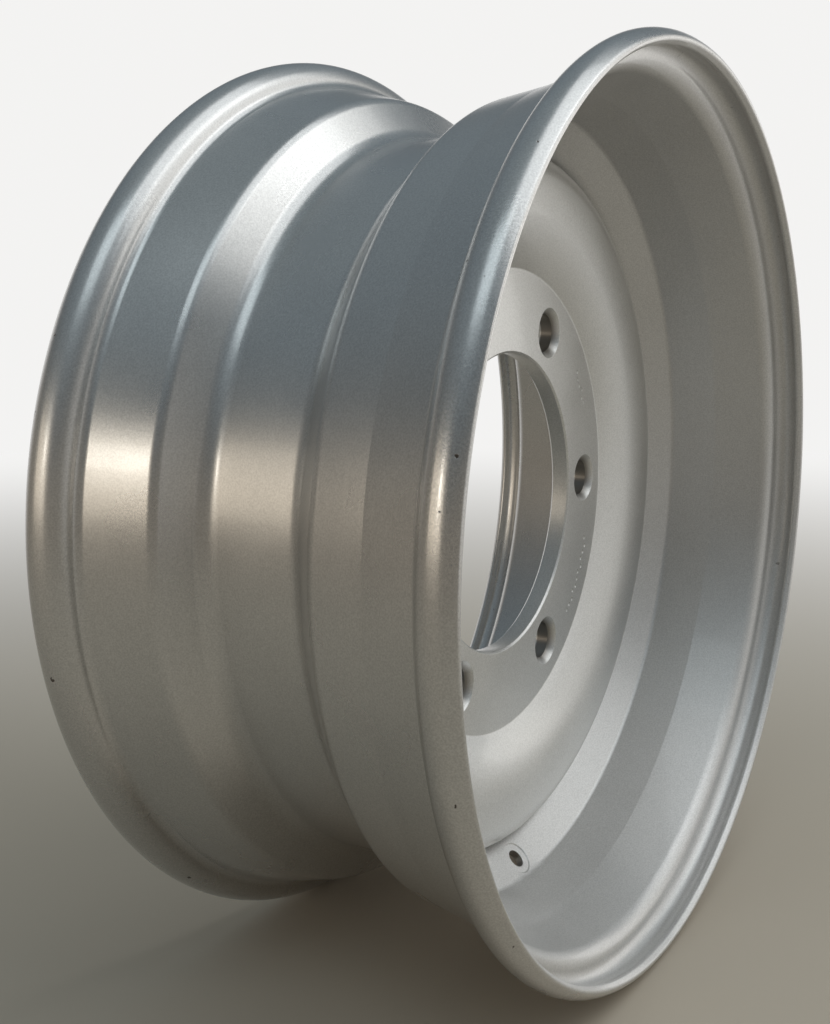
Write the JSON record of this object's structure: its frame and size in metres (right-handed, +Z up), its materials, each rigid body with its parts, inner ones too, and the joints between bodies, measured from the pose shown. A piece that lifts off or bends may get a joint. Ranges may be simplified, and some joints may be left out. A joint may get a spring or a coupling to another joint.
{
  "type": "truck wheel rim",
  "caption": "Silver-painted steel truck wheel: a tubeless drop-centre rim with a domed, pressed disc welded into its well, drilled for wheel studs and a tyre valve.",
  "frame": {"origin": "the wheel's centre on its axle line, in the plane of the hub face, which is also midway between the two flanges", "axes": "the axle runs along Y: -Y points to the dished front with the valve hole, +Y to the side the hub comes in from; +Z is up, with the valve hole at the bottom"},
  "size_m": [0.4698, 0.2158, 0.4698],
  "materials": {
    "rim_paint": "satin metallic silver paint on steel",
    "disc_paint": "satin metallic silver paint on steel",
    "weld_paint": "satin metallic silver paint over a weld bead"
  },
  "bodies": {
    "root": {"rim": "rim_paint", "disc": "disc_paint", "weld": "weld_paint"}
  },
  "joints": []
}
